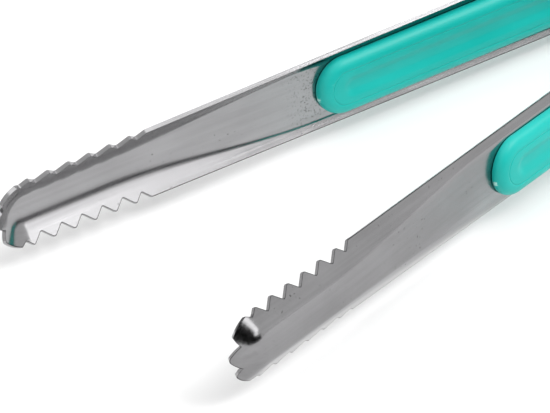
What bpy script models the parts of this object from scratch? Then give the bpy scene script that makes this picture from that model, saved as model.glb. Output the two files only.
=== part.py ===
"""Print tongs: two serrated sheet-steel arms on one pivot, a return spring and moulded grips.

Frame: metres, +Z up.  The tongs lie on their side, so the pivot axis is vertical, the tips point
along +X and the two arms close onto the plane Y = 0.  The origin is below the middle of the part,
on the surface that it lies on.  The constants and the meshes are written in millimetres.

Each arm is drawn in its own frame: x runs from the pivot axis along the arm's free edges, y points
outwards, away from the other arm, and z is the pivot axis.
"""
import bmesh
import bpy
from math import cos, hypot, pi, radians, sin
from mathutils import Matrix, Vector

MM = 0.001

# ---- arms -------------------------------------------------------------------------------------
SHEET = 0.8                      # thickness of the sheet
OPEN_ANGLE = radians(8.06)       # each arm from the closing plane, at rest
EDGE_OFFSET = 6.0                # free edges stand this far outside the pivot axis
PITCH = 4.5                      # tooth to tooth
FIRST_TOOTH = 158.8              # x of the rearmost full tooth
TOOTH_INSET = 1.57               # depth of a tooth, measured across the arm
TOOTH_FLAT = 0.06                # half of a tooth's blunt crest, in pitches
VALLEY_FLAT = 0.04               # half of a valley's flat, in pitches
TOOTH_TIPS = (-0.8, 0.0, 1.0, 2.0, 3.0, 4.0, 5.0)   # crests, in pitches from the first full tooth
TIP_CENTRE = FIRST_TOOTH + TOOTH_TIPS[-1] * PITCH
TIP_LENGTH = 7.5                 # the rounded end beyond TIP_CENTRE
# the rounded end: angle from the arm's own axis in degrees, and how far the edge is cut back
TIP_EDGE = ((83, 0.6), (77, 0.9), (69, 0.0), (58, 0.0), (46, 0.0), (35, 0.0), (29, 0.8), (24, 1.6),
            (13, 0.8), (2.5, 0.0))
REAR_END = -7.0                  # x of the arm's rear edge
EAR_REACH = 4.3                  # how far an ear passes the pivot axis
EAR_LENGTH = 12.0                # half of an ear's length along x

# sizes along an arm: (x, value) stations, joined by smooth steps
HALF_WIDTH = ((10.0, 8.6), (77.0, 7.95), (TIP_CENTRE, 7.1))
DEPTH = ((10.0, 1.2), (30.0, 1.05), (116.0, 1.05), (164.0, 3.1))
WALL = ((14.0, 0.5), (34.0, 1.5), (116.0, 1.5), (164.0, 4.5))
CORNER = ((14.0, 0.42), (34.0, 0.66), (116.0, 0.66), (164.0, 1.9))
OUTER_EAR = 9.35                 # half-width at the ears, to the middle of the sheet
INNER_EAR = 7.55
EAR_FROM, EAR_TO = 14.0, 44.0    # the arm narrows or widens to its ears over this stretch
WALL_STEPS, CORNER_STEPS = 2, 4

# ---- grips ------------------------------------------------------------------------------------
GAP = 0.25                       # clearance between pieces that touch
OUTER_FRONT, INNER_FRONT = 115.5, 117.05     # x of the grips' front ends
GRIP_LENGTH, GRIP_RADIUS = 78.0, 6.0
GRIP_HEIGHT_OUT = 2.15
GRIP_PROUD = 2.0                 # the inner grip stands this far past the free edges
GRIP_SIDE, SHOULDER = 0.5, 2.3   # the plain side's height, and the run of the shoulder above it
DISH_INSET, DISH_RUN, DISH_DEPTH = 3.5, 1.9, 0.5
STUD_RADIUS, STUD_XS = 1.8, (52.0, 77.2, 102.4)
STUD_REACH = 0.9                 # a stud enters the outer grip by this much

# ---- pivot ------------------------------------------------------------------------------------
PIN_RADIUS, BORE_RADIUS, HEAD_RADIUS = 2.0, 2.3, 4.3
HEAD_THICK = 1.1
WASHER_RADIUS, WASHER_THICK = 4.3, 0.4
BUSH_RADIUS = 3.4
WIRE_RADIUS, COIL_RADIUS, COIL_TURNS, COIL_HALF = 0.6, 4.4, 7, 4.6
LEG_LENGTH, LEG_END_Y = 16.0, 5.9

HEAD_TOP = OUTER_EAR + SHEET / 2 + GAP + HEAD_THICK
AXIS_HEIGHT = HEAD_TOP           # the pin's head is the lowest point
TIP_X = (TIP_CENTRE + TIP_LENGTH) * cos(OPEN_ANGLE) - EDGE_OFFSET * sin(OPEN_ANGLE)
REAR_X = REAR_END * cos(OPEN_ANGLE) - (EDGE_OFFSET + DEPTH[0][1] + SHEET / 2) * sin(OPEN_ANGLE)
PIVOT_X = -(TIP_X + REAR_X) / 2


def smooth(stations, x):
    """Value at x of a curve that runs in smooth steps through (x, value) stations."""
    if x <= stations[0][0]:
        return stations[0][1]
    for (x0, v0), (x1, v1) in zip(stations, stations[1:]):
        if x <= x1:
            t = (x - x0) / (x1 - x0)
            return v0 + (v1 - v0) * t * t * (3 - 2 * t)
    return stations[-1][1]


def half_width(x, ear):
    """Half-width of an arm, to the middle of its sheet, with its own width at the ears."""
    (x0, v0), (x1, v1), (x2, v2) = HALF_WIDTH
    body = v1 + (v1 - v0) / (x1 - x0) * (x - x1) if x < x1 else v1 + (v2 - v1) / (x2 - x1) * (x - x1)
    blend = smooth(((EAR_FROM, 0.0), (EAR_TO, 1.0)), x)
    return ear + (body - ear) * blend


def make_object(name, bm, material, parent=None, smooth_angle=35):
    """Turn a bmesh in millimetres into an object in metres."""
    bmesh.ops.scale(bm, vec=(MM, MM, MM), verts=bm.verts)
    mesh = bpy.data.meshes.new(name)
    bm.to_mesh(mesh)
    bm.free()
    mesh.materials.append(material)
    mesh.shade_smooth()
    mesh.set_sharp_from_angle(angle=radians(smooth_angle))
    obj = bpy.data.objects.new(name, mesh)
    bpy.context.collection.objects.link(obj)
    obj.parent = parent
    return obj


def make_material(name, color, roughness, metallic):
    mat = bpy.data.materials.new(name)
    mat.use_nodes = True
    shader = mat.node_tree.nodes["Principled BSDF"]
    shader.inputs["Base Color"].default_value = (*color, 1)
    shader.inputs["Roughness"].default_value = roughness
    shader.inputs["Metallic"].default_value = metallic
    return mat


def make_empty(name, location, turn=0.0):
    empty = bpy.data.objects.new(name, None)
    empty.location = location
    empty.rotation_euler = (0, 0, turn)
    bpy.context.collection.objects.link(empty)
    return empty


def make_cutter(name, radius, z0, z1, centre, parent, along="Z"):
    """A hidden cylinder for a Boolean, along z or along an arm's y."""
    bm = bmesh.new()
    bmesh.ops.create_cone(bm, cap_ends=True, segments=24, radius1=radius, radius2=radius, depth=z1 - z0)
    bmesh.ops.translate(bm, vec=(0, 0, (z0 + z1) / 2), verts=bm.verts)
    if along == "Y":
        bmesh.ops.rotate(bm, matrix=Matrix.Rotation(-pi / 2, 3, "X"), verts=bm.verts)
    bmesh.ops.translate(bm, vec=centre, verts=bm.verts)
    cutter = make_object(name, bm, STEEL, parent)
    cutter.hide_render = True
    cutter.display_type = "WIRE"
    return cutter


def add_boolean(obj, cutter, operation="DIFFERENCE"):
    mod = obj.modifiers.new(cutter.name, "BOOLEAN")
    mod.object = cutter
    mod.operation = operation
    mod.solver = "EXACT"


# ---- the sheet of an arm ----------------------------------------------------------------------
def side_stations():
    """(x, cut) along a long edge: the plain stretch, then the blunt crests and their valleys."""
    first = FIRST_TOOTH + TOOTH_TIPS[0] * PITCH
    ear = [(REAR_END + (EAR_LENGTH - REAR_END) * i / 10, 0.0) for i in range(11)]
    plain = [(x, 0.0) for x in (15, 20, 25, 30, 34, 44, 60, 85, 103, 116, 123, 130, 136, 142, 149)]
    rows = ear + plain + [(first, 0.0)]
    for a, b in zip(TOOTH_TIPS, TOOTH_TIPS[1:]):
        left, right = FIRST_TOOTH + a * PITCH, FIRST_TOOTH + b * PITCH
        middle, cut = (left + right) / 2, TOOTH_INSET * (b - a)
        rows += [(left + TOOTH_FLAT * PITCH, 0.0), (middle - VALLEY_FLAT * PITCH, cut),
                 (middle + VALLEY_FLAT * PITCH, cut)]
        rows.append((right - TOOTH_FLAT * PITCH if b < TOOTH_TIPS[-1] else right, 0.0))
    return rows


def section(x, cut, run, ear_rise):
    """Points of a half section: (distance in from the outline, y), from the free edge to the middle."""
    depth, wall, corner = smooth(DEPTH, x), smooth(WALL, x), smooth(CORNER, x)

    def height(d):
        if d <= wall - corner:
            return depth * d / wall
        if d >= wall + corner:
            return depth
        return depth * (1 - (wall + corner - d) ** 2 / (4 * corner * wall))

    d1 = wall - corner
    edge = (cut, height(cut) - ear_rise)
    foot = (d1, height(d1))
    points = []
    for i in range(WALL_STEPS):
        t = i / WALL_STEPS
        points.append((edge[0] + (foot[0] - edge[0]) * t, edge[1] + (foot[1] - edge[1]) * t))
    for i in range(CORNER_STEPS + 1):
        d = d1 + 2 * corner * i / CORNER_STEPS
        points.append((d, height(d)))
    points.append((run, depth))
    return [(d, EDGE_OFFSET + y) for d, y in points]


def ear_rise(x):
    """How far the ears' edges reach past the free-edge line, towards the other arm."""
    if abs(x) >= EAR_LENGTH:
        return 0.0
    return (EDGE_OFFSET + EAR_REACH) * (1 + cos(pi * x / EAR_LENGTH)) / 2


def arm_sheet(ear):
    """The arm's middle surface: rows across the arm, closed by a fan around the rounded tip."""
    bm = bmesh.new()
    rows = []
    for x, cut in side_stations():
        run = half_width(x, ear)
        points = section(x, cut, run, ear_rise(x))
        up = [bm.verts.new((x, y, run - d)) for d, y in points]
        down = [bm.verts.new((x, y, d - run)) for d, y in points[:-1]]
        rows.append((up, down + [up[-1]]))
    for (up0, down0), (up1, down1) in zip(rows, rows[1:]):
        for i in range(len(up0) - 1):
            bm.faces.new((up0[i], up1[i], up1[i + 1], up0[i + 1]))
            bm.faces.new((down0[i], down0[i + 1], down1[i + 1], down1[i]))
    centre = rows[-1][0][-1]
    radius_z = half_width(TIP_CENTRE, ear)
    fan = [rows[-1][0][:-1]]
    for angle, cut in TIP_EDGE + tuple((-a, c) for a, c in reversed(TIP_EDGE)):
        dx, dz = TIP_LENGTH * cos(radians(angle)), radius_z * sin(radians(angle))
        run = hypot(dx, dz)
        points = section(TIP_CENTRE, cut, run, 0.0)[:-1]
        fan.append([bm.verts.new((TIP_CENTRE + dx * (1 - d / run), y, dz * (1 - d / run)))
                    for d, y in points])
    fan.append(rows[-1][1][:-1])
    for a, b in zip(fan, fan[1:]):
        for i in range(len(a) - 1):
            bm.faces.new((a[i], b[i], b[i + 1], a[i + 1]))
        bm.faces.new((a[-1], b[-1], centre))
    return bm


def build_arm(name, ear, side, parent):
    bm = arm_sheet(ear)
    bmesh.ops.scale(bm, vec=(1, side, 1), verts=bm.verts)
    bmesh.ops.recalc_face_normals(bm, faces=bm.faces)
    arm = make_object(name, bm, STEEL, parent)
    solid = arm.modifiers.new("sheet", "SOLIDIFY")
    solid.thickness = SHEET * MM
    solid.offset = 0
    solid.use_even_offset = False
    add_boolean(arm, make_cutter(name + "_pin_bore", BORE_RADIUS, -12, 12, (0, 0, 0), parent))
    spine = EDGE_OFFSET + DEPTH[2][1]
    for i, x in enumerate(STUD_XS):
        hole = make_cutter(f"{name}_stud_hole_{i}", STUD_RADIUS + GAP, -2, 2,
                           (x, side * spine, 0), parent, "Y")
        add_boolean(arm, hole)
    return arm


# ---- grips ------------------------------------------------------------------------------------
def grip_rings(height):
    """(inset, height) of the stacked outlines: side, rounded shoulder, crest and central dish."""
    rings = [(0.2, 0.0), (0.0, 0.2)]
    for i in range(7):
        a = pi / 2 * i / 6
        rings.append((SHOULDER * (1 - cos(a)), height - (height - GRIP_SIDE) * (1 - sin(a))))
    for t in (0.0, 0.5, 1.0):
        rings.append((DISH_INSET + DISH_RUN * t, height - DISH_DEPTH * t * t * (3 - 2 * t)))
    return rings


def grip_body(height, front):
    """A racetrack pillow on the plane y = 0 that rises along +y; x of its front end is front."""
    bm = bmesh.new()
    x_front, x_rear = front - GRIP_RADIUS, front - GRIP_LENGTH + GRIP_RADIUS
    arc = 12
    loops = []
    for inset, y in grip_rings(height):
        r = GRIP_RADIUS - inset
        ring = []
        for centre, start in ((x_front, -pi / 2), (x_rear, pi / 2)):
            for i in range(arc + 1):
                a = start + pi * i / arc
                ring.append(bm.verts.new((centre + r * cos(a), y, r * sin(a))))
        loops.append(ring)
    count = len(loops[0])
    for low, high in zip(loops, loops[1:]):
        for i in range(count):
            j = (i + 1) % count
            bm.faces.new((low[i], low[j], high[j], high[i]))
    bm.faces.new(list(reversed(loops[0])))
    bm.faces.new(loops[-1])
    bmesh.ops.recalc_face_normals(bm, faces=bm.faces)
    return bm


def build_grips(name, side, parent):
    """The outer grip, and the inner one whose studs pass through the arm into it."""
    spine = EDGE_OFFSET + DEPTH[2][1]
    outside, inside = spine + SHEET / 2 + GAP, spine - SHEET / 2 - GAP
    for where, base, rise, height, front in (
            ("outer", outside, 1, GRIP_HEIGHT_OUT, OUTER_FRONT),
            ("inner", inside, -1, inside - EDGE_OFFSET + GRIP_PROUD, INNER_FRONT)):
        bm = grip_body(height, front)
        bmesh.ops.scale(bm, vec=(1, rise, 1), verts=bm.verts)
        bmesh.ops.translate(bm, vec=(0, base, 0), verts=bm.verts)
        bmesh.ops.scale(bm, vec=(1, side, 1), verts=bm.verts)
        bmesh.ops.recalc_face_normals(bm, faces=bm.faces)
        grip = make_object(f"{name}_{where}_grip", bm, GRIP_PLASTIC, parent)
        for i, x in enumerate(STUD_XS):
            if where == "outer":
                start, end, radius, how = outside - 1, outside + STUD_REACH + GAP, STUD_RADIUS + GAP, "DIFFERENCE"
            else:
                start, end, radius, how = inside - 1, outside + STUD_REACH, STUD_RADIUS, "UNION"
            middle, half = side * (start + end) / 2, (end - start) / 2
            stud = make_cutter(f"{name}_{where}_stud_{i}", radius, -half, half, (x, middle, 0), parent, "Y")
            add_boolean(grip, stud, how)


# ---- pivot ------------------------------------------------------------------------------------
def lathe(name, profile, material, parent, steps=32):
    """A solid turned about Z from a closed outline of (radius, z) points."""
    bm = bmesh.new()
    rings = []
    for r, z in profile:
        if r == 0:
            rings.append([bm.verts.new((0, 0, z))])
        else:
            rings.append([bm.verts.new((r * cos(2 * pi * i / steps), r * sin(2 * pi * i / steps), z))
                          for i in range(steps)])
    for a, b in zip(rings, rings[1:] + rings[:1]):
        for i in range(steps):
            j = (i + 1) % steps
            corners = [a[i % len(a)], a[j % len(a)], b[j % len(b)], b[i % len(b)]]
            face = list(dict.fromkeys(corners))
            if len(face) > 2:
                bm.faces.new(face)
    bmesh.ops.recalc_face_normals(bm, faces=bm.faces)
    return make_object(name, bm, material, parent)


def ring_profile(inner, outer, z0, z1, bevel=0.12):
    return [(inner, z0), (outer - bevel, z0), (outer, z0 + bevel), (outer, z1 - bevel),
            (outer - bevel, z1), (inner, z1)]


def wire(name, points, parent):
    """A round wire through the given points, as a closed tube."""
    curve = bpy.data.curves.new(name, "CURVE")
    curve.dimensions = "3D"
    curve.bevel_depth = WIRE_RADIUS * MM
    curve.bevel_resolution = 2
    curve.use_fill_caps = True
    spline = curve.splines.new("POLY")
    spline.points.add(len(points) - 1)
    for target, point in zip(spline.points, points):
        target.co = (*(Vector(point) * MM), 1)
    curve.materials.append(SPRING_STEEL)
    obj = bpy.data.objects.new(name, curve)
    bpy.context.collection.objects.link(obj)
    obj.parent = parent
    return obj


def build_pivot(axis):
    """The riveted pin with its washers, and the bush and coil that turn about it."""
    ear_face = OUTER_EAR + SHEET / 2 + GAP
    head = [(0, -HEAD_TOP), (HEAD_RADIUS - 0.5, -HEAD_TOP), (HEAD_RADIUS, -HEAD_TOP + 0.5),
            (HEAD_RADIUS, -ear_face), (PIN_RADIUS, -ear_face), (PIN_RADIUS, HEAD_TOP - 0.3),
            (PIN_RADIUS - 0.3, HEAD_TOP), (0, HEAD_TOP)]
    lathe("pivot_pin", head, BRIGHT_STEEL, axis)
    lathe("pivot_collar", ring_profile(BORE_RADIUS, HEAD_RADIUS, ear_face, HEAD_TOP, 0.4), BRIGHT_STEEL, axis)
    ear_middle = (OUTER_EAR + INNER_EAR) / 2
    for name, z in (("upper_washer", ear_middle), ("lower_washer", -ear_middle)):
        lathe(name, ring_profile(BORE_RADIUS, WASHER_RADIUS, z - WASHER_THICK / 2, z + WASHER_THICK / 2, 0.08),
              NYLON, axis)
    bush_end = INNER_EAR - SHEET / 2 - GAP
    lathe("spring_bush", ring_profile(BORE_RADIUS, BUSH_RADIUS, -bush_end, bush_end, 0.1), NYLON, axis)


def build_spring(axis, plus_arm, minus_arm):
    """A torsion spring: the coil on the bush and, on each arm, the leg that presses it open."""
    start, end = -pi / 2 - OPEN_ANGLE, pi / 2 + OPEN_ANGLE - 2 * pi * COIL_TURNS
    steps = COIL_TURNS * 18
    coil = []
    for i in range(steps + 1):
        t = i / steps
        a = start + (end - start) * t
        coil.append((COIL_RADIUS * cos(a), COIL_RADIUS * sin(a), -COIL_HALF + 2 * COIL_HALF * t))
    wire("return_spring", coil, axis)
    for name, side, arm, z in (("spring_leg_plus", 1, plus_arm, COIL_HALF),
                               ("spring_leg_minus", -1, minus_arm, -COIL_HALF)):
        leg = [(0.35, side * COIL_RADIUS, z), (3.0, side * (COIL_RADIUS + 0.05), z),
               (LEG_LENGTH, side * LEG_END_Y, z)]
        wire(name, leg, arm)


for old in list(bpy.data.objects):
    bpy.data.objects.remove(old, do_unlink=True)

STEEL = make_material("brushed_steel", (0.42, 0.42, 0.43), 0.28, 1.0)
BRIGHT_STEEL = make_material("bright_steel", (0.55, 0.55, 0.56), 0.2, 1.0)
SPRING_STEEL = make_material("spring_steel", (0.35, 0.35, 0.36), 0.3, 1.0)
GRIP_PLASTIC = make_material("grip_plastic", (0.025, 0.52, 0.45), 0.35, 0.0)
NYLON = make_material("nylon", (0.8, 0.79, 0.75), 0.45, 0.0)

axis = make_empty("pivot_axis", (PIVOT_X * MM, 0, AXIS_HEIGHT * MM))
plus = make_empty("plus_arm_axis", axis.location, OPEN_ANGLE)
minus = make_empty("minus_arm_axis", axis.location, -OPEN_ANGLE)
build_arm("wide_arm", OUTER_EAR, 1, plus)
build_arm("narrow_arm", INNER_EAR, -1, minus)
build_grips("wide_arm", 1, plus)
build_grips("narrow_arm", -1, minus)
build_pivot(axis)
build_spring(axis, plus, minus)
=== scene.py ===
"""Looks of the print tongs: fine sheet-steel arms, moulded grips, the pivot and its spring.

Pieces are drawn in millimetres in their arm's own frame, as in the CAD: x runs from the pivot axis
along the free edges, y points outwards and z is the pivot axis.  They are then placed in the frame
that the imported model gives.
"""
import bmesh
import bpy
from math import cos, hypot, pi, radians, sin
from mathutils import Matrix, Vector


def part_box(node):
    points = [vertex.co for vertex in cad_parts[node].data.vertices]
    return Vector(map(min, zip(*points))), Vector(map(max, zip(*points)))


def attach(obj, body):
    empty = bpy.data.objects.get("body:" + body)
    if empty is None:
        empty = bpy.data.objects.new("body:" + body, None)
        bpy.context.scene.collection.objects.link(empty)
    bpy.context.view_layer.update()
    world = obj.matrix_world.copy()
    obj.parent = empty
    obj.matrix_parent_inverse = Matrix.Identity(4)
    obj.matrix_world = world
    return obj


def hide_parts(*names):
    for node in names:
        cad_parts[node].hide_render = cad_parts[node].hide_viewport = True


MM = 0.001

# ---- arms, as in the CAD ----------------------------------------------------------------------
SHEET = 0.8
OPEN_ANGLE = radians(8.06)
EDGE_OFFSET = 6.0
PITCH = 4.5
FIRST_TOOTH = 158.8
TOOTH_INSET = 1.57
TOOTH_TIPS = (-0.8, 0.0, 1.0, 2.0, 3.0, 4.0, 5.0)
TOOTH_STEPS = 14                 # rows from one crest to the next
TOOTH_ROUND = 0.07               # blunting of crests and valleys, as a share of the tooth
TIP_CENTRE = FIRST_TOOTH + TOOTH_TIPS[-1] * PITCH
TIP_LENGTH = 7.5
TIP_EDGE = ((83, 0.6), (77, 0.9), (69, 0.0), (58, 0.0), (46, 0.0), (35, 0.0), (29, 0.8), (24, 1.6),
            (13, 0.8), (2.5, 0.0))
TIP_STEP = 1.5                   # degrees between rows round the tip
REAR_END = -7.0
EAR_REACH = 4.3
EAR_LENGTH = 12.0
HALF_WIDTH = ((10.0, 8.6), (77.0, 7.95), (TIP_CENTRE, 7.1))
DEPTH = ((10.0, 1.2), (30.0, 1.05), (116.0, 1.05), (164.0, 3.1))
WALL = ((14.0, 0.5), (34.0, 1.5), (116.0, 1.5), (164.0, 4.5))
CORNER = ((14.0, 0.42), (34.0, 0.66), (116.0, 0.66), (164.0, 1.9))
OUTER_EAR, INNER_EAR = 9.35, 7.55
EAR_FROM, EAR_TO = 14.0, 44.0
WALL_STEPS, CORNER_STEPS, FLOOR_STEPS = 5, 12, 4
PLAIN_STEP = 1.5                 # row spacing where the edge is plain
EDGE_BEVEL = 0.09
EDGE_SHADE_STRIP = 0.13                # width of the strip of painted shade, in near-black steel, along the edges
EDGE_SHARP = radians(50)         # corners sharper than this get the bevel, or a hard shading edge

# ---- grips ------------------------------------------------------------------------------------
GAP = 0.25
SEAT = 0.08                      # what is left of the gap under a grip
OUTER_FRONT, INNER_FRONT = 115.5, 117.05
GRIP_LENGTH, GRIP_RADIUS = 78.0, 6.0
GRIP_HEIGHT_OUT = 2.15
GRIP_PROUD = 2.0
GRIP_SIDE, SHOULDER = 0.5, 2.3   # the plain side's height, and the run of the rounded shoulder above it
LINE_INSET, LINE_HALF, LINE_DEPTH = 2.45, 0.12, 0.1
DISH_INSET, DISH_SHIFT, DISH_RUN, DISH_DEPTH = 3.5, 1.1, 1.9, 0.5
GATE_RADIUS, GATE_HEIGHT = 0.75, 0.28
GATE_UP, GATE_ASIDE = 0.25, -1.2 # the gate mark's place: above the plain side, and off the middle
BASE_RINGS = ((0.2, 0, 0.0), (0.05, 0, 0.05), (0.0, 0, 0.2), (0.0, 0, GRIP_SIDE * 0.8))
LINE_SHAPE = ((-2, 0.0), (-1, 0.12), (-0.5, 0.8), (0, 1.0), (0.5, 0.8), (1, 0.12), (2, 0.0))
DISH_LEAN = 0.4                  # how much more the dish is shortened at its bottom
SHOULDER_STEPS, DISH_STEPS, ARC_STEPS, RUN_STEPS = 16, 8, 40, 40
STUD_OVERLAP = 0.4               # how far a stud starts inside its grip
STUD_RADIUS, STUD_XS, STUD_REACH = 1.8, (52.0, 77.2, 102.4), 0.9
CUTTER_SIDES = 48
EAR_CUTTER_HALF, STUD_CUTTER_HALF = 12, 2

# ---- pivot ------------------------------------------------------------------------------------
PIN_RADIUS, BORE_RADIUS, HEAD_RADIUS, HEAD_THICK = 2.0, 2.3, 4.3, 1.1
WASHER_RADIUS, WASHER_THICK = 4.3, 0.4
BUSH_RADIUS = 3.4
WIRE_RADIUS, COIL_RADIUS, COIL_TURNS, COIL_HALF = 0.6, 4.4, 7, 4.6
LEG_LENGTH, LEG_END_Y = 16.0, 5.9
LEG_START = 0.35                 # clears the coil's end
LATHE_STEPS, COIL_STEPS, LEG_STEPS = 96, 48, 12
HEAD_ROUND, HEAD_LIP, PIN_ROUND = 0.5, 0.15, 0.3
COLLAR_BEVEL, WASHER_BEVEL, BUSH_BEVEL = 0.45, 0.1, 0.12

# ---- camera: where it stands as seen from the teeth, and the length of its lens ------------------
CAMERA_AZIMUTH, CAMERA_ELEVATION, CAMERA_ROLL = radians(50.59), radians(32.50), radians(-4.73)
CAMERA_DISTANCE, CAMERA_LENS = 1004.4, 359.0
AIM_ALONG, AIM_RIGHT, AIM_UP = 158.37, 9.2, 4.3

# ---- studio, in metres and watts ------------------------------------------------------------------
WORLD_STRENGTH = 0.82
TEETH = Vector((0.04, 0, 0))     # directions are measured from here
LIGHT_TARGET = Vector((0.04, 0, 0.01))
LIGHTS = (                       # name, place, size, power
    ("overhead", (0.1, 0.2, 1.6), (1.6, 1.6), 9),
    ("side", (-0.075, 0.44, 0.25), (0.10, 0.18), 0.10),
    ("glint", (-0.035, 0.44, 0.133), (0.07, 0.045), 0.018),
    ("shoulder", (-0.20, 0.44, 0.52), (0.35, 0.24), 0.95),
)
TOP_LIGHT = (138, 48, 1.5), (1.0, 0.5), 8     # azimuth, elevation and distance; size; power
FLAG_DISTANCE, FLAG_FOOT = 0.6, 0.001
FLAGS = (("flag_low", 105, 0.13, 0.13), ("flag_tall", 90, 0.30, 0.5))   # name, azimuth, width, height
CARD_HEIGHT = 0.0004
CARD_OUTLINE = ((-1.2, 0.030), (0.05, 0.030), (0.16, 0.036), (0.16, 1.2), (-1.2, 1.2))


# ================================================================================ mesh helpers
def place(side):
    """The frame of an arm (side +1 or -1), or of the pivot (side 0)."""
    return Matrix.Translation(PIVOT) @ Matrix.Rotation(side * OPEN_ANGLE, 4, "Z")


def make_piece(name, bm, side, body, material, node, sharp=40):
    """Turn a bmesh in millimetres into a piece that stands for a CAD node."""
    bmesh.ops.scale(bm, vec=(MM, MM, MM), verts=bm.verts)
    mesh = bpy.data.meshes.new(name)
    bm.to_mesh(mesh)
    bm.free()
    mesh.materials.append(material)
    mesh.shade_smooth()
    mesh.set_sharp_from_angle(angle=radians(sharp))
    obj = bpy.data.objects.new(name, mesh)
    bpy.context.collection.objects.link(obj)
    obj.matrix_world = place(side)
    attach(obj, body)
    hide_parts(node)
    return obj


def apply_modifiers(obj):
    """Bake the modifiers into the mesh and remove the hidden cutters."""
    cutters = [m.object for m in obj.modifiers if m.type == "BOOLEAN"]
    graph = bpy.context.evaluated_depsgraph_get()
    mesh = bpy.data.meshes.new_from_object(obj.evaluated_get(graph), depsgraph=graph)
    obj.modifiers.clear()
    obj.data = mesh
    for cutter in cutters:
        bpy.data.objects.remove(cutter, do_unlink=True)


def cut(obj, radius, half, centre, along, operation="DIFFERENCE"):
    """A cylinder taken from, or joined to, a piece; centre and sizes are in the piece's millimetres."""
    bm = bmesh.new()
    bmesh.ops.create_cone(bm, cap_ends=True, segments=CUTTER_SIDES, radius1=radius, radius2=radius,
                          depth=2 * half)
    if along == "Y":
        bmesh.ops.rotate(bm, matrix=Matrix.Rotation(-pi / 2, 3, "X"), verts=bm.verts)
    bmesh.ops.translate(bm, vec=centre, verts=bm.verts)
    bmesh.ops.scale(bm, vec=(MM, MM, MM), verts=bm.verts)
    mesh = bpy.data.meshes.new("cutter")
    bm.to_mesh(mesh)
    bm.free()
    mesh.materials.append(obj.data.materials[0])
    cutter = bpy.data.objects.new("cutter", mesh)
    bpy.context.collection.objects.link(cutter)
    cutter.matrix_world = obj.matrix_world
    cutter.hide_render = True
    mod = obj.modifiers.new("cut", "BOOLEAN")
    mod.object = cutter
    mod.operation = operation
    mod.solver = "EXACT"


def smooth(stations, x):
    """Value at x of a curve that runs in smooth steps through (x, value) stations."""
    if x <= stations[0][0]:
        return stations[0][1]
    for (x0, v0), (x1, v1) in zip(stations, stations[1:]):
        if x <= x1:
            t = (x - x0) / (x1 - x0)
            return v0 + (v1 - v0) * t * t * (3 - 2 * t)
    return stations[-1][1]


def linear(stations, x):
    """As smooth(), but in straight lines; the stations fall in x."""
    for (x0, v0), (x1, v1) in zip(stations, stations[1:]):
        if x >= x1:
            return v0 + (v1 - v0) * (x - x0) / (x1 - x0)
    return stations[-1][1]


# ================================================================================ arms
def half_width(x, ear):
    (x0, v0), (x1, v1), (x2, v2) = HALF_WIDTH
    body = v1 + (v1 - v0) / (x1 - x0) * (x - x1) if x < x1 else v1 + (v2 - v1) / (x2 - x1) * (x - x1)
    return ear + (body - ear) * smooth(((EAR_FROM, 0.0), (EAR_TO, 1.0)), x)


def blunt(t):
    """A zigzag from 0 at the crests (t = 0 and 1) to 1 in the valley, with blunt turns."""
    u, r = 1 - abs(2 * t - 1), TOOTH_ROUND
    if u < 2 * r:
        depth = u * u / (4 * r)
    elif u > 1 - 2 * r:
        depth = 1 - 2 * r - (1 - u) ** 2 / (4 * r)
    else:
        depth = u - r
    return depth / (1 - 2 * r)


def side_stations():
    """(x, cut) along a long edge, from the rear end to where the rounded tip begins."""
    first = FIRST_TOOTH + TOOTH_TIPS[0] * PITCH
    count = int((first - REAR_END) / PLAIN_STEP)
    rows = [(REAR_END + (first - REAR_END) * i / count, 0.0) for i in range(count + 1)]
    for a, b in zip(TOOTH_TIPS, TOOTH_TIPS[1:]):
        for i in range(1, TOOTH_STEPS + 1):
            t = i / TOOTH_STEPS
            rows.append((FIRST_TOOTH + (a + (b - a) * t) * PITCH, TOOTH_INSET * (b - a) * blunt(t)))
    return rows


def section(x, cut_back, run, rise):
    """Points of a half section: (distance in from the outline, y), from the free edge to the middle."""
    depth, wall, corner = smooth(DEPTH, x), smooth(WALL, x), smooth(CORNER, x)

    def height(d):
        if d <= wall - corner:
            return depth * d / wall
        if d >= wall + corner:
            return depth
        return depth * (1 - (wall + corner - d) ** 2 / (4 * corner * wall))

    foot = wall - corner
    edge = (cut_back, height(cut_back) - rise)
    points = []
    # the first step of the wall, from the edge, is the strip of painted shade
    strip = min(EDGE_SHADE_STRIP / (foot - cut_back), 0.9 / WALL_STEPS)
    for t in [0, strip] + [i / WALL_STEPS for i in range(1, WALL_STEPS)]:
        points.append((edge[0] + (foot - edge[0]) * t, edge[1] + (height(foot) - edge[1]) * t))
    for i in range(CORNER_STEPS + 1):
        d = foot + 2 * corner * i / CORNER_STEPS
        points.append((d, height(d)))
    top = wall + corner
    for i in range(1, FLOOR_STEPS + 1):
        points.append((top + (run - top) * i / FLOOR_STEPS, depth))
    return [(d, EDGE_OFFSET + y) for d, y in points]


def ear_rise(x):
    """How far the ears' edges reach past the free-edge line, towards the other arm."""
    if abs(x) >= EAR_LENGTH:
        return 0.0
    return (EDGE_OFFSET + EAR_REACH) * (1 + cos(pi * x / EAR_LENGTH)) / 2


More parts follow.
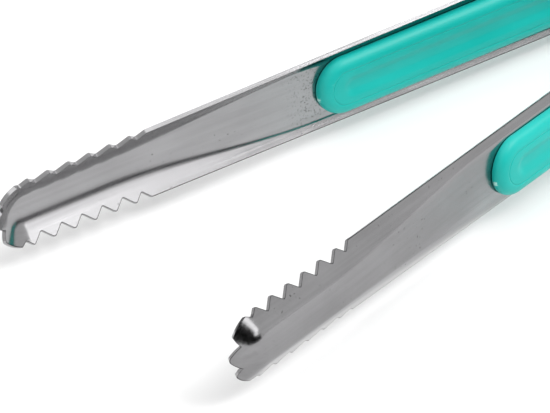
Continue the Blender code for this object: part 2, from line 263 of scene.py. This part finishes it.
def arm_sheet(ear):
    """The arm's middle surface: rows across the arm, closed by a fan around the rounded tip."""
    bm = bmesh.new()
    rows = []
    for x, cut_back in side_stations():
        run = half_width(x, ear)
        points = section(x, cut_back, run, ear_rise(x))
        up = [bm.verts.new((x, y, run - d)) for d, y in points]
        down = [bm.verts.new((x, y, d - run)) for d, y in points[:-1]]
        rows.append((up, down + [up[-1]]))
    for (up0, down0), (up1, down1) in zip(rows, rows[1:]):
        for i in range(len(up0) - 1):
            upper = bm.faces.new((up0[i], up1[i], up1[i + 1], up0[i + 1]))
            lower = bm.faces.new((down0[i], down0[i + 1], down1[i + 1], down1[i]))
            # the row along the edge takes the near-black steel of the painted edge shade
            upper.material_index = lower.material_index = int(i == 0)
    centre = rows[-1][0][-1]
    radius = half_width(TIP_CENTRE, ear)
    half = ((90, 0.0),) + TIP_EDGE
    outline = half + tuple((-a, c) for a, c in reversed(half))
    fan = [rows[-1][0][:-1]]
    steps = int(180 / TIP_STEP)
    for k in range(1, steps):
        angle = 90 - 180 * k / steps
        dx, dz = TIP_LENGTH * cos(radians(angle)), radius * sin(radians(angle))
        run = hypot(dx, dz)
        points = section(TIP_CENTRE, linear(outline, angle), run, 0.0)[:-1]
        fan.append([bm.verts.new((TIP_CENTRE + dx * (1 - d / run), y, dz * (1 - d / run)))
                    for d, y in points])
    fan.append(rows[-1][1][:-1])
    for a, b in zip(fan, fan[1:]):
        for i in range(len(a) - 1):
            face = bm.faces.new((a[i], b[i], b[i + 1], a[i + 1]))
            # the row along the edge takes the near-black steel of the painted edge shade
            face.material_index = int(i == 0)
        bm.faces.new((a[-1], b[-1], centre))
    return bm


def build_arm(name, node, ear, side, body):
    bm = arm_sheet(ear)
    bmesh.ops.scale(bm, vec=(1, side, 1), verts=bm.verts)
    bmesh.ops.recalc_face_normals(bm, faces=bm.faces)
    arm = make_piece(name, bm, side, body, STEEL, node, 180)
    # second material: near-black steel that paints shade along the sheet's edges
    arm.data.materials.append(EDGE_SHADE_STEEL)
    solid = arm.modifiers.new("sheet", "SOLIDIFY")
    solid.material_offset_rim = -1
    solid.thickness = SHEET * MM
    solid.offset = 0
    solid.use_even_offset = False
    cut(arm, BORE_RADIUS, EAR_CUTTER_HALF, (0, 0, 0), "Z")
    for x in STUD_XS:
        cut(arm, STUD_RADIUS + GAP, STUD_CUTTER_HALF, (x, side * (EDGE_OFFSET + DEPTH[2][1]), 0), "Y")
    apply_modifiers(arm)
    bevel = arm.modifiers.new("edge", "BEVEL")
    bevel.width = EDGE_BEVEL * MM
    bevel.segments = 2
    bevel.limit_method = "ANGLE"
    bevel.angle_limit = EDGE_SHARP
    bevel.harden_normals = True
    # the bevel also takes the painted edge shade
    bevel.material = 1
    apply_modifiers(arm)


# ================================================================================ grips
def grip_rings(height):
    """(inset, end shift, height) of the stacked outlines, from the base to the dish's middle."""
    rings = list(BASE_RINGS)
    for i in range(SHOULDER_STEPS + 1):
        a = pi / 2 * i / SHOULDER_STEPS
        rings.append((SHOULDER * (1 - cos(a)), 0, height - (height - GRIP_SIDE) * (1 - sin(a))))
    rings = [r for r in rings if r[0] < LINE_INSET - 2.2 * LINE_HALF]
    for k, drop in LINE_SHAPE:
        rings.append((LINE_INSET + k * LINE_HALF, 0, height - LINE_DEPTH * drop))
    for i in range(DISH_STEPS + 1):
        t = i / DISH_STEPS
        rings.append((DISH_INSET + DISH_RUN * t, DISH_SHIFT + DISH_LEAN * t,
                      height - DISH_DEPTH * t * t * (3 - 2 * t)))
    return rings


def build_grip(name, node, side, body, outer):
    """A racetrack pillow with a gate mark on its front end; the inner one has studs."""
    spine = EDGE_OFFSET + DEPTH[2][1]
    rise = 1 if outer else -1
    base = spine + rise * (SHEET / 2 + SEAT)
    height = GRIP_HEIGHT_OUT + GAP - SEAT if outer else base - EDGE_OFFSET + GRIP_PROUD
    end = OUTER_FRONT if outer else INNER_FRONT
    x_front, x_rear = end - GRIP_RADIUS, end - GRIP_LENGTH + GRIP_RADIUS
    bm = bmesh.new()
    loops = []
    for inset, shift, y in grip_rings(height):
        r = GRIP_RADIUS - inset
        ring = []
        front, rear = x_front - shift, x_rear + shift
        for turn, here, there in ((-1, front, rear), (1, rear, front)):
            for i in range(ARC_STEPS + 1):
                a = turn * pi / 2 + pi * i / ARC_STEPS
                ring.append((here + r * cos(a), r * sin(a)))
            ring += [(here + (there - here) * i / RUN_STEPS, -turn * r) for i in range(1, RUN_STEPS)]
        loops.append([bm.verts.new((x, side * (base + rise * y), z)) for x, z in ring])
    count = len(loops[0])
    for low, high in zip(loops, loops[1:]):
        for i in range(count):
            j = (i + 1) % count
            bm.faces.new((low[i], low[j], high[j], high[i]))
    bm.faces.new(list(reversed(loops[0])))
    bm.faces.new(loops[-1])
    gate = Vector((end, side * (base + rise * (GRIP_SIDE + GATE_UP)), GATE_ASIDE))
    add_gate_mark(bm, gate)
    bmesh.ops.recalc_face_normals(bm, faces=bm.faces)
    plastic = grip_material(name + "_plastic", gate)
    grip = make_piece(name, bm, side, body, plastic, node, 180)
    if outer:
        for x in STUD_XS:
            cut(grip, STUD_RADIUS + GAP, STUD_REACH + GAP, (x, side * base, 0), "Y")
    else:
        outside = spine + SHEET / 2 + GAP + STUD_REACH
        half, middle = (outside - base) / 2 + STUD_OVERLAP, (outside + base) / 2 - STUD_OVERLAP
        for x in STUD_XS:
            cut(grip, STUD_RADIUS, half, (x, side * middle, 0), "Y", "UNION")
    apply_modifiers(grip)
    grip.data.set_sharp_from_angle(angle=EDGE_SHARP)


def add_gate_mark(bm, gate):
    """Push the grip's front end out into the small rough nub that the mould's gate leaves."""
    for vert in bm.verts:
        away = (vert.co - gate).length / GATE_RADIUS
        if away < 1:
            vert.co.x += GATE_HEIGHT * (1 - away * away) ** 2


# ================================================================================ pivot
def lathe(name, profile, material, node):
    """A solid turned about the pivot axis from a closed outline of (radius, z) points."""
    bm = bmesh.new()
    rings = []
    for r, z in profile:
        if r == 0:
            rings.append([bm.verts.new((0, 0, z))])
        else:
            turns = [2 * pi * i / LATHE_STEPS for i in range(LATHE_STEPS)]
            rings.append([bm.verts.new((r * cos(turn), r * sin(turn), z)) for turn in turns])
    for a, b in zip(rings, rings[1:] + rings[:1]):
        for i in range(LATHE_STEPS):
            j = (i + 1) % LATHE_STEPS
            face = list(dict.fromkeys([a[i % len(a)], a[j % len(a)], b[j % len(b)], b[i % len(b)]]))
            if len(face) > 2:
                bm.faces.new(face)
    bmesh.ops.recalc_face_normals(bm, faces=bm.faces)
    return make_piece(name, bm, 0, "pivot", material, node, 30)


def round_corner(corner_r, corner_z, radius, start, steps=6):
    """Points of a quarter turn about (corner_r, corner_z), from the angle start in degrees."""
    return [(corner_r + radius * cos(radians(start + 90 * i / steps)),
             corner_z + radius * sin(radians(start + 90 * i / steps))) for i in range(steps + 1)]


def ring_profile(inner, outer, z0, z1, bevel):
    """Outline of a ring: rounded outside, slightly chamfered in the bore."""
    return ([(inner + bevel * 0.5, z0)] + round_corner(outer - bevel, z0 + bevel, bevel, -90)
            + round_corner(outer - bevel, z1 - bevel, bevel, 0)
            + [(inner + bevel * 0.5, z1), (inner, z1 - bevel * 0.5), (inner, z0 + bevel * 0.5)])


def build_pivot():
    ear_face = OUTER_EAR + SHEET / 2 + GAP
    head_top = ear_face + HEAD_THICK
    flat = HEAD_RADIUS - HEAD_ROUND
    outline = [(0, -head_top), (flat, -head_top)]
    outline += round_corner(flat, -head_top + HEAD_ROUND, HEAD_ROUND, -90)
    outline += round_corner(HEAD_RADIUS - HEAD_LIP, -ear_face - HEAD_LIP, HEAD_LIP, 0)
    outline += [(PIN_RADIUS, -ear_face), (PIN_RADIUS, head_top - PIN_ROUND)]
    outline += round_corner(PIN_RADIUS - PIN_ROUND, head_top - PIN_ROUND, PIN_ROUND, 0)
    outline += [(1.1, head_top), (0.6, head_top - 0.25), (0, head_top - 0.3)]      # centre mark
    lathe("pin", outline, BRIGHT_STEEL, "pivot_pin")
    collar = ring_profile(BORE_RADIUS, HEAD_RADIUS, ear_face, head_top, COLLAR_BEVEL)
    lathe("collar", collar, BRIGHT_STEEL, "pivot_collar")
    middle, half = (OUTER_EAR + INNER_EAR) / 2, WASHER_THICK / 2
    for name, z in (("upper_washer", middle), ("lower_washer", -middle)):
        washer = ring_profile(BORE_RADIUS, WASHER_RADIUS, z - half, z + half, WASHER_BEVEL)
        lathe(name + "_ring", washer, NYLON, name)
    end = INNER_EAR - SHEET / 2 - GAP
    bush = ring_profile(BORE_RADIUS, BUSH_RADIUS, -end, end, BUSH_BEVEL)
    lathe("bush", bush, NYLON, "spring_bush")


def wire(name, points, side, body, node):
    """A round spring wire through the points."""
    curve = bpy.data.curves.new(name, "CURVE")
    curve.dimensions = "3D"
    curve.bevel_depth = WIRE_RADIUS * MM
    curve.bevel_resolution = 5
    curve.use_fill_caps = True
    spline = curve.splines.new("POLY")
    spline.points.add(len(points) - 1)
    for target, point in zip(spline.points, points):
        target.co = (*(Vector(point) * MM), 1)
    curve.materials.append(WIRE_STEEL)
    obj = bpy.data.objects.new(name, curve)
    bpy.context.collection.objects.link(obj)
    obj.matrix_world = place(side)
    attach(obj, body)
    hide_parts(node)


def build_spring():
    """The coil about the pivot, and a leg along the inside of each arm."""
    start, end = -pi / 2 - OPEN_ANGLE, pi / 2 + OPEN_ANGLE - 2 * pi * COIL_TURNS
    steps = COIL_TURNS * COIL_STEPS
    coil = []
    for i in range(steps + 1):
        turn = start + (end - start) * i / steps
        coil.append((COIL_RADIUS * cos(turn), COIL_RADIUS * sin(turn),
                     -COIL_HALF + 2 * COIL_HALF * i / steps))
    wire("coil", coil, 0, "pivot", "return_spring")
    for name, side, body in (("plus", 1, "wide_side"), ("minus", -1, "narrow_side")):
        leg = []
        for i in range(LEG_STEPS + 1):
            t = i / LEG_STEPS
            x = LEG_START + (LEG_LENGTH - LEG_START) * t
            leg.append((x, side * (COIL_RADIUS + (LEG_END_Y - COIL_RADIUS) * t * t), side * COIL_HALF))
        wire("leg_" + name, leg, side, body, "spring_leg_" + name)


# ================================================================================ materials
class Graph:
    """A material and short ways to add nodes to it; values are outputs, numbers or colours."""

    def __init__(self, name):
        self.material = bpy.data.materials.new(name)
        self.material.use_nodes = True
        self.nodes = self.material.node_tree.nodes
        self.links = self.material.node_tree.links
        self.inputs = self.nodes["Principled BSDF"].inputs
        self.place = self.nodes.new("ShaderNodeTexCoord").outputs["Object"]

    def feed(self, socket, value):
        if isinstance(value, bpy.types.NodeSocket):
            self.links.new(value, socket)
        elif isinstance(value, tuple):
            socket.default_value = (*value, 1)
        else:
            socket.default_value = value

    def noise(self, scale, detail=3.0, slant=None):
        """Noise whose cells are one over scale metres long, turned about y by slant degrees."""
        place = self.place
        if slant is not None:
            turn = self.nodes.new("ShaderNodeMapping")
            turn.inputs["Rotation"].default_value = (0, radians(slant), 0)
            self.links.new(place, turn.inputs["Vector"])
            place = turn.outputs["Vector"]
        mapping = self.nodes.new("ShaderNodeMapping")
        mapping.inputs["Scale"].default_value = scale
        self.links.new(place, mapping.inputs["Vector"])
        texture = self.nodes.new("ShaderNodeTexNoise")
        texture.inputs["Scale"].default_value = 1.0
        texture.inputs["Detail"].default_value = detail
        texture.inputs["Roughness"].default_value = 0.55
        self.links.new(mapping.outputs["Vector"], texture.inputs["Vector"])
        return texture.outputs["Fac"]

    def ramp(self, value, low, high, to_low=0, to_high=1):
        """The value brought from low..high to to_low..to_high, clamped."""
        node = self.nodes.new("ShaderNodeMapRange")
        node.inputs["From Min"].default_value = low
        node.inputs["From Max"].default_value = high
        node.inputs["To Min"].default_value = to_low
        node.inputs["To Max"].default_value = to_high
        self.links.new(value, node.inputs["Value"])
        return node.outputs["Result"]

    def math(self, operation, a, b):
        node = self.nodes.new("ShaderNodeMath")
        node.operation = operation
        self.feed(node.inputs[0], a)
        self.feed(node.inputs[1], b)
        return node.outputs["Value"]

    def weigh(self, a, weight_a, b, weight_b):
        """The weighted sum of two outputs."""
        return self.math("ADD", self.math("MULTIPLY", a, weight_a), self.math("MULTIPLY", b, weight_b))

    def mix(self, factor, a, b):
        node = self.nodes.new("ShaderNodeMix")
        node.data_type = "RGBA"
        self.feed(node.inputs["Factor"], factor)
        self.feed(node.inputs["A"], a)
        self.feed(node.inputs["B"], b)
        return node.outputs["Result"]

    def bump(self, height, strength, distance):
        node = self.nodes.new("ShaderNodeBump")
        node.inputs["Strength"].default_value = strength
        node.inputs["Distance"].default_value = distance
        self.links.new(height, node.inputs["Height"])
        self.links.new(node.outputs["Normal"], self.inputs["Normal"])

    def finish(self, **constants):
        """Set the shader's constants, named with underscores for spaces, and give the material."""
        for name, value in constants.items():
            self.inputs[name.replace("_", " ")].default_value = value
        return self.material


# steel: where the marks of an arm lie, in metres along it from the pivot
TIP_POLISHED = (0.176, 0.1815)
TIP_SCRATCHED = (0.168, 0.180)
PITS_BEGIN, PITS_END = (0.1135, 0.1175), (0.119, 0.125)    # just ahead of the grips
NARROW_SIDE = (-0.002, 0.002)    # y, from the narrow arm's half to the wide arm's
SCRATCH_SLANT = 38
PIT_SHADE = 0.35                 # a pit's colour as a share of the dark tone


def steel_material(name, light, dark, rough, streak, bump_distance, arm=False):
    """Brushed steel: fine lines along x, clouds of wear and sparse pits.

    An arm is also polished round its tip, scratched there, and pitted ahead of its grips.
    """
    g = Graph(name)
    lines = g.noise((35 * streak, 3600, 3600), 2.0)
    long_lines = g.noise((9 * streak, 900, 900), 2.0)
    clouds = g.noise((70, 110, 110), 4.0)
    pits = g.ramp(g.noise((1500, 1500, 1500), 1.0), 0.70, 0.76)
    pit_zones = g.ramp(g.noise((90, 160, 160), 1.0), 0.52, 0.66)
    pits = g.math("MULTIPLY", pits, pit_zones)
    if arm:
        split = g.nodes.new("ShaderNodeSeparateXYZ")
        g.links.new(g.place, split.inputs["Vector"])
        along, across = split.outputs["X"], split.outputs["Y"]
        polish = g.ramp(along, *TIP_POLISHED)
        ahead = g.math("MULTIPLY", g.ramp(along, *PITS_BEGIN), g.ramp(along, *PITS_END, 1, 0))
        ahead = g.math("MULTIPLY", ahead, g.ramp(across, *NARROW_SIDE, 1, 0))
        fine_pits = g.ramp(g.noise((2600, 2600, 2600), 1.0), 0.60, 0.68, 0, 0.7)
        pits = g.math("MAXIMUM", pits, g.math("MULTIPLY", fine_pits, ahead))
        scratches = g.ramp(g.noise((500, 500, 5000), 1.0, SCRATCH_SLANT), 0.66, 0.72)
        scratches = g.math("MULTIPLY", scratches, g.ramp(along, *TIP_SCRATCHED))
        long_lines = g.math("SUBTRACT", long_lines, g.math("MULTIPLY", scratches, 0.3))
    tone = g.ramp(g.weigh(long_lines, 0.45, clouds, 0.55), 0.35, 0.65)
    pit_color = tuple(PIT_SHADE * c for c in dark)
    g.feed(g.inputs["Base Color"], g.mix(pits, g.mix(tone, dark, light), pit_color))
    spread = g.ramp(g.weigh(lines, 0.6, clouds, 0.4), 0.3, 0.7, rough - 0.05, rough + 0.07)
    height = g.math("SUBTRACT", g.weigh(lines, 1.0, long_lines, 0.5), pits)
    if arm:
        spread = g.math("SUBTRACT", spread, g.math("MULTIPLY", polish, 0.03))
        height = g.math("MULTIPLY", height, g.ramp(polish, 0, 1, 1, 0.2))
    g.feed(g.inputs["Roughness"], spread)
    g.bump(height, 0.35, bump_distance)
    return g.finish(Metallic=1.0)


def grip_material(name, gate):
    """Teal moulded plastic with faint flow mottling, fine scuffs and a pale gate mark."""
    g = Graph(name)
    clouds = g.noise((60, 160, 160), 3.0)
    grain = g.noise((2600, 2600, 2600), 2.0)
    scuffs = g.ramp(g.noise((260, 2400, 1300), 1.0), 0.76, 0.84, 0, 0.35)
    teal = g.mix(g.ramp(clouds, 0.3, 0.7), (0.001, 0.41, 0.362), (0.006, 0.46, 0.412))
    teal = g.mix(scuffs, teal, (0.16, 0.66, 0.60))
    distance = g.nodes.new("ShaderNodeVectorMath")
    distance.operation = "DISTANCE"
    distance.inputs[1].default_value = gate * MM
    g.links.new(g.place, distance.inputs[0])
    ragged = g.math("ADD", distance.outputs["Value"], g.ramp(grain, 0.3, 0.7, -0.00022, 0.00022))
    mark = g.ramp(ragged, 0.0003, 0.00065, 0.8, 0)
    g.feed(g.inputs["Base Color"], g.mix(mark, teal, (0.45, 0.78, 0.72)))
    g.feed(g.inputs["Roughness"], g.ramp(clouds, 0.3, 0.7, 0.36, 0.44))
    g.bump(g.weigh(grain, 0.5, mark, 2.0), 0.25, 0.00004)
    return g.finish(IOR=1.49, Specular_IOR_Level=0.33, Subsurface_Weight=0.08,
                    Subsurface_Radius=(0.3, 1.0, 0.9), Subsurface_Scale=0.0012)


def nylon_material():
    g = Graph("nylon")
    clouds = g.noise((500, 500, 500), 3.0)
    g.feed(g.inputs["Base Color"], g.mix(clouds, (0.74, 0.72, 0.66), (0.84, 0.82, 0.77)))
    g.feed(g.inputs["Roughness"], g.ramp(clouds, 0.3, 0.7, 0.4, 0.52))
    return g.finish(Subsurface_Weight=0.15, Subsurface_Scale=0.001)


def matt_material(name, scale, dark, light, rough, specular):
    """A matt grey between two tones, for the floor and the cards."""
    g = Graph(name)
    clouds = g.noise((scale, scale, scale), 2.0)
    g.feed(g.inputs["Base Color"], g.mix(clouds, (dark, dark, dark), (light, light, light)))
    return g.finish(Roughness=rough, Specular_IOR_Level=specular)


# ================================================================================ stage
def build_camera():
    a, e = CAMERA_AZIMUTH, CAMERA_ELEVATION
    back = Vector((cos(e) * cos(a), cos(e) * sin(a), sin(e)))
    level = Vector((0, 0, 1)).cross(back).normalized()
    upright = back.cross(level)
    right = cos(CAMERA_ROLL) * level + sin(CAMERA_ROLL) * upright
    up = -sin(CAMERA_ROLL) * level + cos(CAMERA_ROLL) * upright
    aim = PIVOT + Vector((AIM_ALONG * MM, 0, 0))
    eye = aim + (right * AIM_RIGHT + up * AIM_UP + back * CAMERA_DISTANCE) * MM
    camera = bpy.data.cameras.new("camera")
    camera.lens = CAMERA_LENS
    camera.sensor_width = 36
    camera.clip_end = 20
    obj = bpy.data.objects.new("camera", camera)
    bpy.context.collection.objects.link(obj)
    obj.matrix_world = Matrix.Translation(eye) @ Matrix((right, up, back)).transposed().to_4x4()
    bpy.context.scene.camera = obj


def stage_piece(name, bm, material):
    mesh = bpy.data.meshes.new(name)
    bm.to_mesh(mesh)
    bm.free()
    mesh.materials.append(material)
    obj = bpy.data.objects.new(name, mesh)
    bpy.context.collection.objects.link(obj)
    return obj


def build_floor():
    bm = bmesh.new()
    bmesh.ops.create_grid(bm, x_segments=8, y_segments=8, size=6)
    stage_piece("floor", bm, matt_material("floor", 3, 0.86, 0.88, 0.7, 0.2))


def build_card():
    """A grey card on the floor outside the near arm; only reflections see it."""
    bm = bmesh.new()
    bm.faces.new([bm.verts.new((x, y, CARD_HEIGHT)) for x, y in CARD_OUTLINE])
    card = stage_piece("card", bm, matt_material("card_grey", 900, 0.64, 0.68, 0.9, 0.0))
    card.visible_camera = card.visible_diffuse = card.visible_shadow = False


def at_angle(azimuth, elevation, distance):
    """A point seen from the teeth in the given direction."""
    a, e = radians(azimuth), radians(elevation)
    return TEETH + distance * Vector((cos(e) * cos(a), cos(e) * sin(a), sin(e)))


def build_flags():
    """Upright black cards beside the tongs that the steel reflects."""
    black = matt_material("flag_black", 900, 0.002, 0.01, 0.9, 0.0)
    for name, azimuth, width, height in FLAGS:
        a = radians(azimuth)
        middle = at_angle(azimuth, 0, FLAG_DISTANCE)
        aside = Vector((-sin(a), cos(a), 0)) * width / 2
        bm = bmesh.new()
        corners = ((-1, FLAG_FOOT), (1, FLAG_FOOT), (1, height), (-1, height))
        bm.faces.new([bm.verts.new(middle + s * aside + Vector((0, 0, z))) for s, z in corners])
        stage_piece(name, bm, black).visible_camera = False


def area_light(name, place_at, size, power):
    light = bpy.data.lights.new(name, "AREA")
    light.shape = "RECTANGLE"
    light.size, light.size_y = size
    light.energy = power
    obj = bpy.data.objects.new(name, light)
    bpy.context.collection.objects.link(obj)
    obj.location = place_at
    obj.visible_camera = False
    obj.rotation_euler = (LIGHT_TARGET - Vector(place_at)).to_track_quat("-Z", "Y").to_euler()


def build_light():
    world = bpy.data.worlds.new("studio")
    bpy.context.scene.world = world
    world.use_nodes = True
    background = world.node_tree.nodes["Background"]
    background.inputs["Color"].default_value = (1, 1, 1, 1)
    background.inputs["Strength"].default_value = WORLD_STRENGTH
    for light in LIGHTS:
        area_light(*light)
    direction, size, power = TOP_LIGHT
    area_light("top", at_angle(*direction), size, power)


# ================================================================================ the scene
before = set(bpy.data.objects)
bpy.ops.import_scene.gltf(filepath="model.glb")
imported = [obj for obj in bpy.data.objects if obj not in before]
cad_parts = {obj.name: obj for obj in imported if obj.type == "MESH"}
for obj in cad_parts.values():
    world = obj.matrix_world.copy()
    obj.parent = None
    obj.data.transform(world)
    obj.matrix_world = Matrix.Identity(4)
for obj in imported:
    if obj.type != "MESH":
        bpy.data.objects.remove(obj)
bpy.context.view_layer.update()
pin_low, pin_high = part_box("pivot_pin")
PIVOT = (pin_low + pin_high) / 2
bpy.context.scene.view_settings.view_transform = "Standard"

# name, light and dark tone, roughness, how short the streaks are, depth of the bump
STEEL = steel_material("arm_steel", (0.37, 0.367, 0.375), (0.305, 0.302, 0.308), 0.17, 1.0, 0.00002,
                       arm=True)
# painted shade: near-black steel for the strip and the bevel along the sheet's edges
EDGE_SHADE_STEEL = steel_material("edge_painted_shade", (0.06, 0.06, 0.063), (0.03, 0.03, 0.031), 0.4, 1.0, 0.00002)
BRIGHT_STEEL = steel_material("pivot_steel", (0.60, 0.60, 0.61), (0.50, 0.50, 0.51), 0.18, 12.0,
                              0.00001)
WIRE_STEEL = steel_material("wire_steel", (0.42, 0.42, 0.43), (0.32, 0.32, 0.33), 0.26, 12.0, 0.00001)
NYLON = nylon_material()

build_arm("wide_arm_sheet", "wide_arm", OUTER_EAR, 1, "wide_side")
build_arm("narrow_arm_sheet", "narrow_arm", INNER_EAR, -1, "narrow_side")
for arm, side, body in (("wide_arm", 1, "wide_side"), ("narrow_arm", -1, "narrow_side")):
    build_grip(arm + "_grip_out", arm + "_outer_grip", side, body, True)
    build_grip(arm + "_grip_in", arm + "_inner_grip", side, body, False)
build_pivot()
build_spring()
build_camera()
build_floor()
build_light()
build_card()
build_flags()
